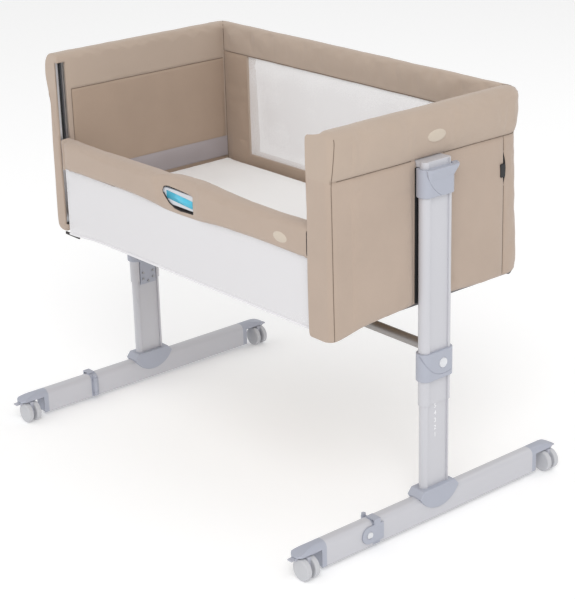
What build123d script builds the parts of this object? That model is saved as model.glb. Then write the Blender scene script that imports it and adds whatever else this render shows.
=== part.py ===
"""Bedside bassinet on a stand: two T-shaped telescopic legs on casters carry a padded crib.

Millimetres, Z up. X runs along the crib, Y from its open front (-Y) to its back (+Y).
The origin is on the floor, under the middle of the feet.
"""
import os

from build123d import *

os.makedirs("parts", exist_ok=True)

# ---- stand ----
LEG_X = 450.0            # middle plane of each leg
POST_Y = 10.5            # the posts stand a little behind the middle of the feet
TUBE_CENTRE = 23.7       # from the post's middle to the middle of each round lobe
RECESS = 3.0             # depth of the flat groove between the lobes
SLEEVE_R = 12.3
LEG_R = 10.3
WALL = 1.6
SLEEVE_Z = (238.0, 683.0)
LEG_Z = (57.6, 515.0)
COLLAR_Z = (287.0, 341.0)
CAP_Z = (634.0, 685.0)
GRIP = 4.0               # collars stand this far proud of the sleeve
HANGER_Z = (668.0, 697.0)

# ---- feet ----
BEAM_W = 30.0
BEAM_Z = (8.0, 57.5)
BEAM_WALL = 1.8
BEAM_END = 268.5
TIP_Y = 334.0
JOINT_Y = -149.5         # hinge line of the folding front arm
PIN_X = LEG_X - 18.5
LUG_R = 5.0
PLATE_X = (LEG_X + 15.3, LEG_X + 18.5)
LATCH_Y = -167.5
LATCH_Z = 33.0

# ---- casters ----
CASTER_Y = 312.5
WHEEL_R = 21.0
TRAIL = 10.5
WHEEL_GAP = 4.0          # from the caster's middle to each wheel's inner face
WHEEL_W = 11.0
CASTER_TOP = 44.6

# ---- crib ----
OUT_X = 437.0
IN_X = 399.5
BACK_OUT = 242.5
BACK_IN = 218.0
FRONT_Y = -209.5
CORNER_R = 20.0
RIM_Z = (697.5, 784.0)
PANEL_Z = 414.0
FRAME_X = 420.0
FRAME_BACK = 230.0
FRAME_FRONT = -172.0
FRAME_RIM_Z = 756.0
FRAME_BASE_Z = 430.0
FRAME_R = 8.0
BOARD_Z = (438.6, 443.0)
MATTRESS_Z = (443.5, 490.0)
WINDOW_X = 323.0
WINDOW_Z = 505.0
TRACK_Y = (-205.0, -185.5)
TRACK_X = (410.0, 418.0)
TRACK_Z = (428.0, 764.0)

# ---- front rail ----
RAIL_X = 397.5
RAIL_Y = (-217.5, -187.5)
RAIL_Z = (544.0, 613.0)
HANDLE_X = 46.0
HANDLE_Z = (548.0, 592.0)
FLAP_X = 373.0


def save(shape, name):
    """Writes one piece under its own name."""
    shape.label = name
    export_step(shape, f"parts/{name}.step")


def save_pair(shape, name):
    """Writes the right-hand piece and its mirror image for the left leg."""
    save(shape, name + "_right")
    save(mirror(shape, about=Plane.YZ), name + "_left")


def slab(x, y, z, mode=Mode.ADD):
    """A box between two values on each axis."""
    with Locations(((x[0] + x[1]) / 2, (y[0] + y[1]) / 2, (z[0] + z[1]) / 2)):
        Box(x[1] - x[0], y[1] - y[0], z[1] - z[0], mode=mode)


def rod(start, end, radius, mode=Mode.ADD):
    """A round bar from one point to another."""
    line = Vector(*end) - Vector(*start)
    with BuildSketch(Plane(origin=start, z_dir=line)) as circle:
        Circle(radius)
    extrude(circle.sketch, amount=line.length, mode=mode)


def dog_bone(radius, groove_half):
    """Outline of the post tubes: two round lobes and a flat groove on each face."""
    with BuildSketch() as outline:
        SlotOverall(2 * (TUBE_CENTRE + radius), 2 * radius, rotation=90)
        with Locations((radius - RECESS / 2, 0), (RECESS / 2 - radius, 0)):
            Rectangle(RECESS, 2 * groove_half, mode=Mode.SUBTRACT)
    return outline.sketch


def beam_outline(inset=0.0):
    """Section of the foot tube in the XZ plane, round along its upper edges."""
    width = BEAM_W - 2 * inset
    height = BEAM_Z[1] - BEAM_Z[0] - 2 * inset
    with BuildSketch() as outline:
        Rectangle(width, height)
        fillet(outline.vertices().group_by(Axis.Y)[-1], 12 - inset)
        fillet(outline.vertices().group_by(Axis.Y)[0], 2.5 - inset / 2)
    return outline.sketch


def beam_run(y_from, y_to, inset=0.0, mode=Mode.ADD):
    """A length of the right-hand foot's section, solid."""
    middle = (BEAM_Z[0] + BEAM_Z[1]) / 2
    place = Plane(origin=(LEG_X, y_from, middle), x_dir=(-1, 0, 0), z_dir=(0, 1, 0))
    with BuildSketch(place) as outline:
        add(beam_outline(inset))
    extrude(outline.sketch, amount=y_to - y_from, mode=mode)


def post_run(sketch, z, mode=Mode.ADD):
    """A length of a post section on the right-hand leg's axis."""
    with BuildSketch(Plane(origin=(LEG_X, POST_Y, z[0]))) as outline:
        add(sketch)
    extrude(outline.sketch, amount=z[1] - z[0], mode=mode)


def stadium(radius):
    """Plain rounded outline round both lobes."""
    with BuildSketch() as outline:
        SlotOverall(2 * (TUBE_CENTRE + radius), 2 * radius, rotation=90)
    return outline.sketch


def frame_tubes(radius, mode=Mode.ADD):
    """The crib's welded frame: rim on three sides, four uprights, base and two cross tubes."""
    x = FRAME_X
    front = FRAME_FRONT
    back = FRAME_BACK
    past = FRAME_R - 1.5
    levels = (FRAME_BASE_Z, FRAME_RIM_Z)
    for side in (-x, x):
        for z in levels:
            rod((side, front - past, z), (side, back + past, z), radius, mode)
        for y in (front, back):
            rod((side, y, levels[0] - past), (side, y, levels[1] + past), radius - 0.7, mode)
    for z in levels:
        rod((-x - past, back, z), (x + past, back, z), radius - 0.4, mode)
    rod((-x, front, levels[0]), (x, front, levels[0]), radius - 0.4, mode)
    for across in (-190, 190):
        rod((across, front, levels[0]), (across, back, levels[0]), radius - 1.2, mode)


# ================= posts =================
with BuildPart() as sleeve_tube:
    post_run(dog_bone(SLEEVE_R, 23.0), SLEEVE_Z)
    post_run(dog_bone(SLEEVE_R - WALL, 23.0 + WALL), SLEEVE_Z, Mode.SUBTRACT)
save_pair(sleeve_tube.part, "sleeve_tube")

with BuildPart() as leg_tube:
    post_run(dog_bone(LEG_R, 25.0), LEG_Z)
    post_run(dog_bone(LEG_R - WALL, 25.0 + WALL), LEG_Z, Mode.SUBTRACT)
save_pair(leg_tube.part, "leg_tube")

with BuildPart() as hanger:
    post_run(dog_bone(LEG_R, 25.0), HANGER_Z)
    fillet(hanger.faces().sort_by(Axis.Z)[-1].edges(), 1.2)
    slab((LEG_X - 32, LEG_X - 4), (POST_Y - 31, POST_Y + 31), (686, HANGER_Z[1]))
save_pair(hanger.part, "hanger")

# Height collar: ring, an arched seam, the button's bore, and a guide on the inner face.
BUTTON_Y = POST_Y + 7
BUTTON_Z = 317.0
BUTTON_R = 9.5
with BuildPart() as height_collar:
    post_run(stadium(SLEEVE_R + GRIP), COLLAR_Z)
    fillet(height_collar.faces().sort_by(Axis.Z)[0].edges(), 1.5)
    fillet(height_collar.faces().sort_by(Axis.Z)[-1].edges(), 1.5)
    slab((LEG_X - 12.3, LEG_X - 9.4), (POST_Y - 20, POST_Y + 20), (231, 300))
    post_run(dog_bone(SLEEVE_R + 0.02, 22.98), (COLLAR_Z[0] - 5, COLLAR_Z[1] + 5), Mode.SUBTRACT)
    with BuildPart(mode=Mode.PRIVATE) as seam:
        rod((LEG_X + 2, POST_Y + 10, 346), (LEG_X + 30, POST_Y + 10, 346), 50.8)
        rod((LEG_X + 2, POST_Y + 10, 346), (LEG_X + 30, POST_Y + 10, 346), 50.0, Mode.SUBTRACT)
        post_run(stadium(SLEEVE_R + GRIP - 0.8), (200, 400), Mode.SUBTRACT)
    add(seam.part, mode=Mode.SUBTRACT)
    rod((LEG_X + 5, BUTTON_Y, BUTTON_Z), (LEG_X + 25, BUTTON_Y, BUTTON_Z), BUTTON_R + 0.4, Mode.SUBTRACT)
    rod((LEG_X - 30, POST_Y, 341), (LEG_X, POST_Y, 341), 10.05, Mode.SUBTRACT)
save_pair(height_collar.part, "height_collar")

with BuildPart() as height_button:
    rod((LEG_X + 13.2, BUTTON_Y, BUTTON_Z), (LEG_X + 17.6, BUTTON_Y, BUTTON_Z), BUTTON_R)
    fillet(height_button.faces().sort_by(Axis.X)[-1].edges(), 1.0)
    with Locations((LEG_X + 35.5, BUTTON_Y, BUTTON_Z)):
        Sphere(20.0, mode=Mode.SUBTRACT)
save_pair(height_button.part, "height_button")

# Screws of the guide: shank in the guide, round head on its face.
with BuildPart() as collar_screws:
    for side in (-1, 1):
        for y, z in ((-13, 257), (-13, 243), (0, 236), (13, 243), (13, 257)):
            x = side * (LEG_X - 12.3)
            rod((x, POST_Y + y, z), (x - side * 1.8, POST_Y + y, z), 2.6)
save(collar_screws.part, "collar_screws")

# Top collar and its release lever, parted along an arc about the lever's pivot.
PIVOT_Y = POST_Y + 28
PIVOT_Z = 692.0
ARC_R = 63.0
LEVER_GAP = 0.4


def arc_disc(radius, mode):
    rod((LEG_X + 1, PIVOT_Y, PIVOT_Z), (LEG_X + 40, PIVOT_Y, PIVOT_Z), radius, mode)


with BuildPart() as top_cap:
    post_run(stadium(SLEEVE_R + GRIP), CAP_Z)
    fillet(top_cap.faces().sort_by(Axis.Z)[0].edges(), 1.5)
    post_run(dog_bone(SLEEVE_R + 0.02, 22.98), (CAP_Z[0] - 5, SLEEVE_Z[1]), Mode.SUBTRACT)
    post_run(dog_bone(LEG_R + 0.1, 24.9), (CAP_Z[0] - 5, CAP_Z[1] + 5), Mode.SUBTRACT)
    with BuildPart(mode=Mode.PRIVATE) as room:
        arc_disc(ARC_R + LEVER_GAP, Mode.ADD)
        slab((LEG_X - 5, LEG_X + 13.0), (POST_Y - 70, POST_Y + TUBE_CENTRE + 8), (600, 720), Mode.SUBTRACT)
    add(room.part, mode=Mode.SUBTRACT)
    slab((LEG_X - 30, LEG_X - 12), (-100, 100), (600, 720), Mode.SUBTRACT)
    slab((LEG_X - 30, LEG_X), (POST_Y - 24, POST_Y + 24), (600, SLEEVE_Z[1]), Mode.SUBTRACT)
save_pair(top_cap.part, "top_cap")

# The lever's top flares into a finger lip, furthest out at the back.
with BuildPart() as release_lever:
    post_run(stadium(SLEEVE_R + GRIP), (CAP_Z[0], CAP_Z[1] - 20))
    with BuildSketch(Plane(origin=(LEG_X, POST_Y, CAP_Z[1] - 20))) as waist:
        add(stadium(SLEEVE_R + GRIP))
    with BuildSketch(Plane(origin=(LEG_X, POST_Y + 4.5, CAP_Z[1] - 4.5))) as flare:
        SlotOverall(2 * (TUBE_CENTRE + SLEEVE_R + GRIP) + 13, 2 * (SLEEVE_R + GRIP + 4.5), rotation=90)
    loft(sections=[waist.sketch, flare.sketch])
    extrude(flare.sketch, amount=4.5)
    fillet(release_lever.faces().sort_by(Axis.Z)[-1].edges(), 1.5)
    post_run(stadium(SLEEVE_R + 0.7), (CAP_Z[0] - 5, CAP_Z[1] + 5), Mode.SUBTRACT)
    slab((LEG_X - 30, LEG_X + 1.5), (-100, 100), (600, 720), Mode.SUBTRACT)
    with BuildPart(mode=Mode.PRIVATE) as zone:
        arc_disc(ARC_R, Mode.ADD)
        slab((LEG_X - 5, LEG_X + 13.4), (POST_Y - 70, POST_Y + TUBE_CENTRE + 8.4), (600, 720), Mode.SUBTRACT)
    add(zone.part, mode=Mode.INTERSECT)
save_pair(release_lever.part, "release_lever")

with BuildPart() as cross_bar:
    reach = LEG_X - SLEEVE_R + RECESS - 0.1
    rod((-reach, POST_Y, 341), (reach, POST_Y, 341), 10.0)
    rod((-reach - 1, POST_Y, 341), (reach + 1, POST_Y, 341), 8.6, Mode.SUBTRACT)
save(cross_bar.part, "cross_bar")

# ================= feet =================
with BuildPart() as saddle:
    side = Plane(origin=(LEG_X - 18, 0, 0), x_dir=(0, 1, 0), z_dir=(1, 0, 0))
    with BuildSketch(side) as half_moon:
        with BuildLine():
            Polyline((POST_Y - 50, 59), (POST_Y - 40, 71), (POST_Y + 40, 71), (POST_Y + 50, 59))
            ThreePointArc((POST_Y + 50, 59), (POST_Y, 28), (POST_Y - 50, 59))
        make_face()
    extrude(half_moon.sketch, amount=36.0)
    fillet(saddle.faces().sort_by(Axis.X)[-1].edges(), 1.6)
    fillet(saddle.faces().sort_by(Axis.X)[0].edges(), 1.6)
    beam_run(POST_Y - 80, POST_Y + 80, -0.02, Mode.SUBTRACT)
    post_run(dog_bone(LEG_R + 0.02, 24.98), (50, 80), Mode.SUBTRACT)
save_pair(saddle.part, "saddle")

with BuildPart() as foot_beam:
    beam_run(-139.5, BEAM_END)
    beam_run(-150, BEAM_END + 10, BEAM_WALL, Mode.SUBTRACT)
save_pair(foot_beam.part, "foot_beam")

with BuildPart() as arm_beam:
    beam_run(-BEAM_END, -158)
    beam_run(-BEAM_END - 10, -150, BEAM_WALL, Mode.SUBTRACT)
    rod((LEG_X + 10, LATCH_Y, LATCH_Z), (LEG_X + 20, LATCH_Y, LATCH_Z), 8.5, Mode.SUBTRACT)
save_pair(arm_beam.part, "arm_beam")


def end_cap(sign):
    """Plastic end of a foot: sloping top, rounded tip, a hollow over the caster."""
    side = Plane(origin=(LEG_X - BEAM_W / 2, 0, 0), x_dir=(0, 1, 0), z_dir=(1, 0, 0))
    with BuildPart() as cap:
        with BuildSketch(side) as outline:
            with BuildLine():
                start = (sign * BEAM_END, BEAM_Z[1])
                ThreePointArc(start, (sign * 306, 55.6), (sign * TIP_Y, 48.5))
                Polyline((sign * TIP_Y, 48.5), (sign * TIP_Y, BEAM_Z[0]), (sign * BEAM_END, BEAM_Z[0]), start)
            make_face()
        extrude(outline.sketch, amount=BEAM_W)
        tip = cap.edges().filter_by(Axis.Z).group_by(Axis.Y)[-1 if sign > 0 else 0]
        fillet(tip, 14.0)
        with BuildPart(mode=Mode.PRIVATE) as tunnel:
            beam_run(-400, 400)
        add(tunnel.part, mode=Mode.INTERSECT)
        centre = (LEG_X, sign * CASTER_Y)
        rod((*centre, 0), (*centre, CASTER_TOP + 0.6), 36.5, Mode.SUBTRACT)
        rod((*centre, 40), (*centre, 50.6), 4.06, Mode.SUBTRACT)
    return cap.part


save_pair(end_cap(1), "rear_cap")
save_pair(end_cap(-1), "front_cap")

# Plug on the arm with the middle knuckle.
with BuildPart() as arm_knuckle:
    beam_run(-157.9, JOINT_Y - 0.7)
    for z in ((0, 19.7), (46.3, 70)):
        rod((PIN_X, JOINT_Y, z[0]), (PIN_X, JOINT_Y, z[1]), LUG_R + 0.4, Mode.SUBTRACT)
    rod((PIN_X, JOINT_Y, 20), (PIN_X, JOINT_Y, 46), LUG_R)
    slab((PIN_X, LEG_X - 14), (-156, JOINT_Y - 0.7), (20, 46))
    rod((PIN_X, JOINT_Y, 0), (PIN_X, JOINT_Y, 70), 2.56, Mode.SUBTRACT)
save_pair(arm_knuckle.part, "arm_knuckle")

# Plug on the fixed beam: outer plate with a round tongue, top clip, two knuckles and the pin.
with BuildPart() as fold_plate:
    beam_run(JOINT_Y - 0.2, -139.6)
    rod((PIN_X, JOINT_Y, 19.7), (PIN_X, JOINT_Y, 46.3), LUG_R + 0.4, Mode.SUBTRACT)
    for z in ((12, 19.4), (46.6, 53)):
        rod((PIN_X, JOINT_Y, z[0]), (PIN_X, JOINT_Y, z[1]), LUG_R)
        slab((PIN_X, LEG_X - 14), (JOINT_Y + 0.2, JOINT_Y + 5), z)
    rod((PIN_X, JOINT_Y, 11), (PIN_X, JOINT_Y, 57), 2.5)
    rod((PIN_X, JOINT_Y, 54), (PIN_X, JOINT_Y, 58.5), 4.2)
    plate = Plane(origin=(PLATE_X[0], 0, 0), x_dir=(0, 1, 0), z_dir=(1, 0, 0))
    with BuildSketch(plate) as tongue:
        with Locations((LATCH_Y, LATCH_Z)):
            Circle(17.0)
        with Locations(((LATCH_Y - 133.5) / 2, LATCH_Z)):
            Rectangle(-133.5 - LATCH_Y, 34)
    extrude(tongue.sketch, amount=PLATE_X[1] - PLATE_X[0])
    fillet(fold_plate.faces().sort_by(Axis.X)[-1].edges(), 1.0)
    slab((LEG_X + 14, PLATE_X[1]), (-148, -133.5), (20, 46))
    slab((LEG_X - 4, PLATE_X[1] - 0.5), (-156, -141), (57.8, 60.5))
    slab((PLATE_X[0], PLATE_X[1] - 0.5), (-156, -141), (48, 60))
    beam_run(-139.6, -120, -0.02, Mode.SUBTRACT)
    with BuildSketch(plate) as window:
        with Locations((LATCH_Y, LATCH_Z)):
            Circle(7.0)
    extrude(window.sketch, amount=20, mode=Mode.SUBTRACT)
save_pair(fold_plate.part, "fold_plate")

with BuildPart() as latch_button:
    with BuildSketch(plate) as round_face:
        with Locations((LATCH_Y, LATCH_Z)):
            Circle(6.6)
        with Locations((LATCH_Y, LATCH_Z - 6.6)):
            Rectangle(14, 3.2, mode=Mode.SUBTRACT)
    extrude(round_face.sketch, amount=4.6)
    fillet(latch_button.faces().sort_by(Axis.X)[-1].edges(), 0.6)
save_pair(latch_button.part, "latch_button")

# ================= casters =================
for side, x in (("left", -LEG_X), ("right", LEG_X)):
    for end, sign in (("front", -1), ("rear", 1)):
        axle = x + TRAIL
        y = sign * CASTER_Y
        inner = y - WHEEL_GAP + 0.3
        outer = y + WHEEL_GAP - 0.3
        top = (CASTER_TOP - 2, CASTER_TOP)
        over = sorted((y, y + sign * 16.4))
        ears = sorted((y + sign * 14, y + sign * 19.5))
        with BuildPart() as fork:
            rod((x, y, top[0]), (x, y, top[1]), 13.0)
            rod((x, y, 40), (x, y, 50.2), 4.0)
            rod((axle, inner, WHEEL_R), (axle, outer, WHEEL_R), 9.0)
            slab((x - 8, axle + 8), (inner, outer), (24, top[1] - 0.5))
            slab((x - 6, x + 6), over, top)
            hinge_y = y + sign * 19.5
            for ear in (-6.5, 4.0):
                rod((x + ear, hinge_y, 41.5), (x + ear + 2.5, hinge_y, 41.5), 2.6)
                slab((x + ear, x + ear + 2.5), ears, (42.6, 44.1))
            rod((x - 6, hinge_y, 41.5), (x + 6, hinge_y, 41.5), 1.2)
            rod((axle, y - 10, WHEEL_R), (axle, y + 10, WHEEL_R), 2.56, Mode.SUBTRACT)
        save(fork.part, f"caster_fork_{end}_{side}")

        with BuildPart() as wheels:
            for near in (y - WHEEL_GAP - WHEEL_W, y + WHEEL_GAP):
                rod((axle, near, WHEEL_R), (axle, near + WHEEL_W, WHEEL_R), WHEEL_R)
            fillet(wheels.edges().filter_by(GeomType.CIRCLE), 2.5)
            rod((axle, y - 8, WHEEL_R), (axle, y + 8, WHEEL_R), 2.5)
        save(wheels.part, f"caster_wheels_{end}_{side}")

        with BuildPart() as brake:
            rod((x - 3.6, hinge_y, 41.5), (x + 3.6, hinge_y, 41.5), 2.6)
            tab = sorted((hinge_y, y + sign * 30))
            slab((x - 3.6, x + 3.6), tab, (40.6, 43))
            end_tab = sorted((y + sign * 23, y + sign * 30))
            slab((x - 5.5, x + 5.5), end_tab, (40.6, 43.4))
            rod((x - 5, hinge_y, 41.5), (x + 5, hinge_y, 41.5), 1.28, Mode.SUBTRACT)
        save(brake.part, f"brake_lever_{end}_{side}")

# ================= crib =================
with BuildPart() as crib_frame:
    frame_tubes(FRAME_R)
save(crib_frame.part, "crib_frame")


def corner_plan(outer_x, inner_x, outer_y, inner_y, front):
    """Plan of a three-sided wall, open to the front, with rounded rear corners."""
    with BuildSketch() as plan:
        with Locations((0, (outer_y + front) / 2)):
            Rectangle(2 * outer_x, outer_y - front)
        fillet(plan.vertices().group_by(Axis.Y)[-1], CORNER_R)
        with Locations((0, (inner_y + front) / 2)):
            Rectangle(2 * inner_x, inner_y - front, mode=Mode.SUBTRACT)
    return plan.sketch


def track_room(mode):
    """The two slots at the front that the rail's tracks stand in."""
    z = (TRACK_Z[0] - 0.4, TRACK_Z[1] + 0.4)
    for sign in (-1, 1):
        slab(sorted((sign * (IN_X - 5), sign * (TRACK_X[1] + 0.3))), (TRACK_Y[0] - 0.5, TRACK_Y[1] + 0.5), z, mode)
        slab(sorted((sign * (IN_X - 5), sign * (TRACK_X[0] - 1))), (FRONT_Y - 5, TRACK_Y[0]), z, mode)


with BuildPart() as rim_band:
    with BuildSketch(Plane.XY.offset(RIM_Z[0])):
        add(corner_plan(OUT_X + 4, IN_X, BACK_OUT + 3, BACK_IN, FRONT_Y))
    extrude(amount=RIM_Z[1] - RIM_Z[0])
    fillet(rim_band.faces().sort_by(Axis.Z)[-1].edges(), 8.0)
    track_room(Mode.SUBTRACT)
    frame_tubes(FRAME_R + 0.3, Mode.SUBTRACT)
save(rim_band.part, "rim_band")

with BuildPart() as end_panel:
    slab((IN_X, OUT_X), (FRONT_Y, BACK_IN - 0.3), (PANEL_Z, RIM_Z[0] - 0.3))
    track_room(Mode.SUBTRACT)
    slab((OUT_X - 2, OUT_X + 1), (POST_Y - 35.8, POST_Y + 35.8), (433.7, 700), Mode.SUBTRACT)
    slab((LEG_X - 32.4, OUT_X + 1), (POST_Y - 31.4, POST_Y + 31.4), (685.6, 700), Mode.SUBTRACT)
    frame_tubes(FRAME_R + 0.3, Mode.SUBTRACT)
save_pair(end_panel.part, "end_panel")

with BuildPart() as post_strips:
    for x in ((-OUT_X, 1.8 - OUT_X), (OUT_X - 1.8, OUT_X)):
        slab(x, (POST_Y - 35.5, POST_Y + 35.5), (434, 685))
save(post_strips.part, "post_strips")

with BuildPart() as back_panel:
    with BuildSketch(Plane.XY.offset(PANEL_Z)) as wall:
        with Locations((0, (BACK_IN + BACK_OUT) / 2)):
            Rectangle(2 * OUT_X, BACK_OUT - BACK_IN)
        fillet(wall.vertices().group_by(Axis.Y)[-1], CORNER_R)
    extrude(wall.sketch, amount=RIM_Z[0] - 0.3 - PANEL_Z)
    slab((-WINDOW_X, WINDOW_X), (BACK_IN - 5, BACK_OUT + 5), (WINDOW_Z, RIM_Z[0] + 5), Mode.SUBTRACT)
    frame_tubes(FRAME_R + 0.3, Mode.SUBTRACT)
save(back_panel.part, "back_panel")

with BuildPart() as back_mesh:
    slab((0.5 - WINDOW_X, WINDOW_X - 0.5), (224, 227), (WINDOW_Z + 0.5, RIM_Z[0] - 0.5))
save(back_mesh.part, "back_mesh")

with BuildPart() as mattress_board:
    slab((-398, 398), (-204, BACK_IN - 0.8), BOARD_Z)
save(mattress_board.part, "mattress_board")

with BuildPart() as mattress:
    slab((-397, 397), (-183, BACK_IN - 1.5), MATTRESS_Z)
    fillet(mattress.edges().filter_by(Axis.Z), 25.0)
    fillet(mattress.faces().sort_by(Axis.Z)[-1].edges(), 8.0)
save(mattress.part, "mattress")

# Front tracks: a back plate and two ribs; the rail's shoes run between the ribs.
with BuildPart() as front_tracks:
    for sign in (-1, 1):
        for y in ((TRACK_Y[0], TRACK_Y[0] + 5), (TRACK_Y[1] - 5, TRACK_Y[1])):
            slab(sorted((sign * TRACK_X[0], sign * TRACK_X[1])), y, TRACK_Z)
        slab(sorted((sign * (TRACK_X[1] - 1.6), sign * TRACK_X[1])), TRACK_Y, TRACK_Z)
save(front_tracks.part, "front_tracks")

# Flap that closes the right front corner and hides the rail's end.
with BuildPart() as corner_flap:
    slab((FLAP_X, OUT_X), (-222.5, -218.3), (406, 783))
    slab((IN_X + 4, OUT_X), (-218.3, FRONT_Y - 0.3), (406, 783))
    fillet(corner_flap.edges().filter_by(Axis.Z).group_by(Axis.Y)[0].sort_by(Axis.X)[-1], 8.0)
    fillet(corner_flap.faces().sort_by(Axis.Z)[-1].edges(), 1.5)
save(corner_flap.part, "corner_flap")

with BuildPart() as buckle:
    slab((OUT_X + 0.1, OUT_X + 3.6), (187.5, 199), (622, 647))
    fillet(buckle.edges().filter_by(Axis.X), 2.0)
save(buckle.part, "buckle")

# ================= front rail =================
with BuildPart() as rail_bar:
    slab((-RAIL_X, RAIL_X), (-204.5, -190.5), (553, 604))
    slab((-RAIL_X - 1, RAIL_X + 1), (-203, -192), (554.5, 602.5), Mode.SUBTRACT)
    for x in ((-415.6, -388), (388, 415.6)):
        slab(x, (-199.4, -191.1), (556, 601))
save(rail_bar.part, "rail_bar")

with BuildPart() as rail_pad:
    slab((-RAIL_X, RAIL_X), RAIL_Y, RAIL_Z)
    fillet(rail_pad.edges().filter_by(Axis.X), 9.0)
    slab((-RAIL_X - 1, RAIL_X + 1), (-204.8, -190.2), (552.7, 604.3), Mode.SUBTRACT)
    slab((-HANDLE_X, HANDLE_X), (-220, -204.8), HANDLE_Z, Mode.SUBTRACT)
save(rail_pad.part, "rail_pad")

# Grip in the window: a flat band with a finger gap under it.
with BuildPart() as rail_handle:
    slab((-44.5, 44.5), (-214.5, -210.5), (557, 587.5))
    for x in ((-44.5, -36), (36, 44.5)):
        slab(x, (-210.5, -205.2), (557, 587.5))
    fillet(rail_handle.edges().filter_by(Axis.X).group_by(Axis.Y)[0], 1.5)
save(rail_handle.part, "rail_handle")

with BuildPart() as front_mesh:
    slab((-397, FLAP_X + 22), (-214.6, -212.6), (419, RAIL_Z[0] - 0.4))
save(front_mesh.part, "front_mesh")
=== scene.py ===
"""Looks for the bedside bassinet: soft covers, nets, mattress, materials, light and camera.

Shapes are given in millimetres along the frame's axes, and mm() turns them into metres."""

import math
from itertools import repeat

import bmesh
import bpy
import numpy as np
from mathutils import Matrix, Vector, noise


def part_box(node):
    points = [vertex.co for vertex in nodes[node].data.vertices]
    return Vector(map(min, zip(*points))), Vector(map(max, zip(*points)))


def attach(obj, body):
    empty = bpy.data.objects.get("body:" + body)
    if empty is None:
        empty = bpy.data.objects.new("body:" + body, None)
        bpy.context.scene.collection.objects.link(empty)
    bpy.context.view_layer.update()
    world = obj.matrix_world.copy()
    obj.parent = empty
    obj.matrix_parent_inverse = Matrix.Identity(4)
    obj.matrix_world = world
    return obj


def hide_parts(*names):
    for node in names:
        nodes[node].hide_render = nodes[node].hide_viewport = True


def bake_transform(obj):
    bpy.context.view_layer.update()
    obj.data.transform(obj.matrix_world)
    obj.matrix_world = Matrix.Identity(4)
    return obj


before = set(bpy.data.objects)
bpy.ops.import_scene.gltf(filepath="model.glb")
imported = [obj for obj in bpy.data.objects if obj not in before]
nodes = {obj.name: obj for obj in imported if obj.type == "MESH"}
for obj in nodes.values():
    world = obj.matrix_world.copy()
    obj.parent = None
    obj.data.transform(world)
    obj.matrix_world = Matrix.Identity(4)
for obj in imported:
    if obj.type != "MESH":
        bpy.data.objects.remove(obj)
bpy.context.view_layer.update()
scene = bpy.context.scene
SIDES = ((-1, "left"), (1, "right"))


# ---------------------------------------------------------------- materials
def new_material(name):
    mat = bpy.data.materials.new(name)
    mat.use_nodes = True
    tree = mat.node_tree
    return mat, tree, tree.nodes["Principled BSDF"]


def node(tree, kind, **values):
    """A shader node, with its properties and inputs set by name."""
    made = tree.nodes.new(kind)
    for key, value in values.items():
        if hasattr(made, key):
            setattr(made, key, value)
        else:
            made.inputs[key.replace("_", " ")].default_value = value
    return made


def mottle(tree, bsdf, colour, amount, scale, dark=0.88):
    """Slow colour variation over the piece."""
    place = node(tree, "ShaderNodeTexCoord")
    cloud = node(tree, "ShaderNodeTexNoise", Scale=scale, Detail=4.0, Roughness=0.6)
    mix = node(tree, "ShaderNodeMixRGB", blend_type="MIX")
    mix.inputs["Color1"].default_value = (*colour, 1)
    mix.inputs["Color2"].default_value = (*[c * dark for c in colour], 1)
    ramp = node(tree, "ShaderNodeMapRange")
    ramp.inputs["From Min"].default_value = 0.35
    ramp.inputs["From Max"].default_value = 0.7
    ramp.inputs["To Max"].default_value = amount
    tree.links.new(place.outputs["Object"], cloud.inputs["Vector"])
    tree.links.new(cloud.outputs["Fac"], ramp.inputs["Value"])
    tree.links.new(ramp.outputs["Result"], mix.inputs["Fac"])
    tree.links.new(mix.outputs["Color"], bsdf.inputs["Base Color"])
    return place


def weave_height(tree, place, pitch):
    """Plain weave as a height: one set of threads along each axis."""
    waves = []
    for axis in ("X", "Y", "Z"):
        wave = node(
            tree, "ShaderNodeTexWave", bands_direction=axis, Scale=0.314 / pitch, Distortion=0.6
        )
        wave.inputs["Detail Scale"].default_value = 2.0
        tree.links.new(place.outputs["Object"], wave.inputs["Vector"])
        waves.append(wave)
    first = node(tree, "ShaderNodeMath", operation="ADD")
    second = node(tree, "ShaderNodeMath", operation="ADD")
    tree.links.new(waves[0].outputs["Fac"], first.inputs[0])
    tree.links.new(waves[1].outputs["Fac"], first.inputs[1])
    tree.links.new(first.outputs[0], second.inputs[0])
    tree.links.new(waves[2].outputs["Fac"], second.inputs[1])
    return second


def cloth_material(name, colour, pitch=0.0011, bump=0.25, sheen=0.25, mottled=0.5):
    mat, tree, bsdf = new_material(name)
    place = mottle(tree, bsdf, colour, mottled, 9.0)
    bsdf.inputs["Roughness"].default_value = 0.85
    bsdf.inputs["Specular IOR Level"].default_value = 0.25
    bsdf.inputs["Sheen Weight"].default_value = sheen
    bsdf.inputs["Sheen Roughness"].default_value = 0.5
    height = weave_height(tree, place, pitch)
    fine = node(tree, "ShaderNodeBump", Strength=bump, Distance=0.0004)
    tree.links.new(height.outputs[0], fine.inputs["Height"])
    slub = node(tree, "ShaderNodeTexNoise", Scale=160.0, Detail=3.0)
    tree.links.new(place.outputs["Object"], slub.inputs["Vector"])
    soft = node(tree, "ShaderNodeBump", Strength=0.12, Distance=0.001)
    tree.links.new(slub.outputs["Fac"], soft.inputs["Height"])
    tree.links.new(fine.outputs["Normal"], soft.inputs["Normal"])
    tree.links.new(soft.outputs["Normal"], bsdf.inputs["Normal"])
    return mat


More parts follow.
